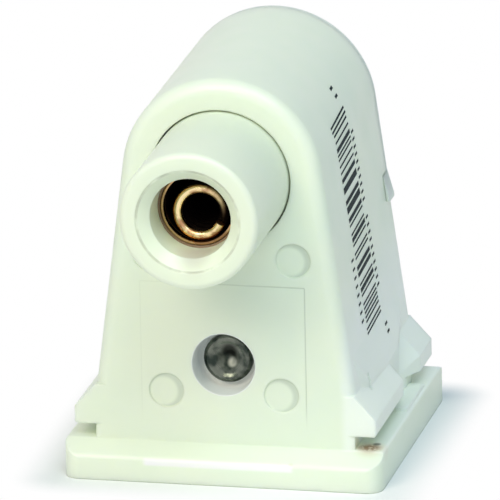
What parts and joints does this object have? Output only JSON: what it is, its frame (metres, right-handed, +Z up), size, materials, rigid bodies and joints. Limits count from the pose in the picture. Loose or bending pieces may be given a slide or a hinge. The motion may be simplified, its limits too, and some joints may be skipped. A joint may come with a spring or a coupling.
{
  "type": "fluorescent lamp holder",
  "caption": "Moulded pedestal lamp holder for a single-pin fluorescent tube, with a spring plunger, a brass contact in its nose and a slotted mounting base.",
  "frame": {"origin": "centre of the bounding box at the underside of the base, with the plunger fully out", "axes": "+Z up from the mounting surface, +Y from the lamp end to the back, +X to the right as seen from the lamp"},
  "size_m": [0.0476, 0.0652, 0.0609],
  "materials": {
    "housing_plastic": "semi-gloss white moulding",
    "cover_plastic": "satin white moulding",
    "plunger_plastic": "semi-gloss white moulding",
    "contact_brass": "bright, slightly tarnished",
    "spring_steel": "drawn wire",
    "rivet_steel": "dark, dull"
  },
  "bodies": {
    "holder": {"housing": "housing_plastic", "rear_cover": "cover_plastic", "plunger_spring": "spring_steel", "terminal_plate": "contact_brass", "wire_clamp_left": "contact_brass", "wire_clamp_right": "contact_brass", "terminal_block": "cover_plastic", "housing_rivet": "rivet_steel", "rivet_washer": "rivet_steel"},
    "nose": {"plunger": "plunger_plastic", "contact_sleeve": "contact_brass", "contact_spring": "contact_brass", "contact_rivet": "contact_brass", "spring_cup": "contact_brass"}
  },
  "joints": [
    {"name": "plunger_slide", "type": "slide", "parent": "holder", "child": "nose", "axis": [0, 1, 0], "range_m": [0, 0.014], "stiffness_N_per_m": 400, "springref_m": -0.012, "deforming": ["plunger_spring"]}
  ]
}
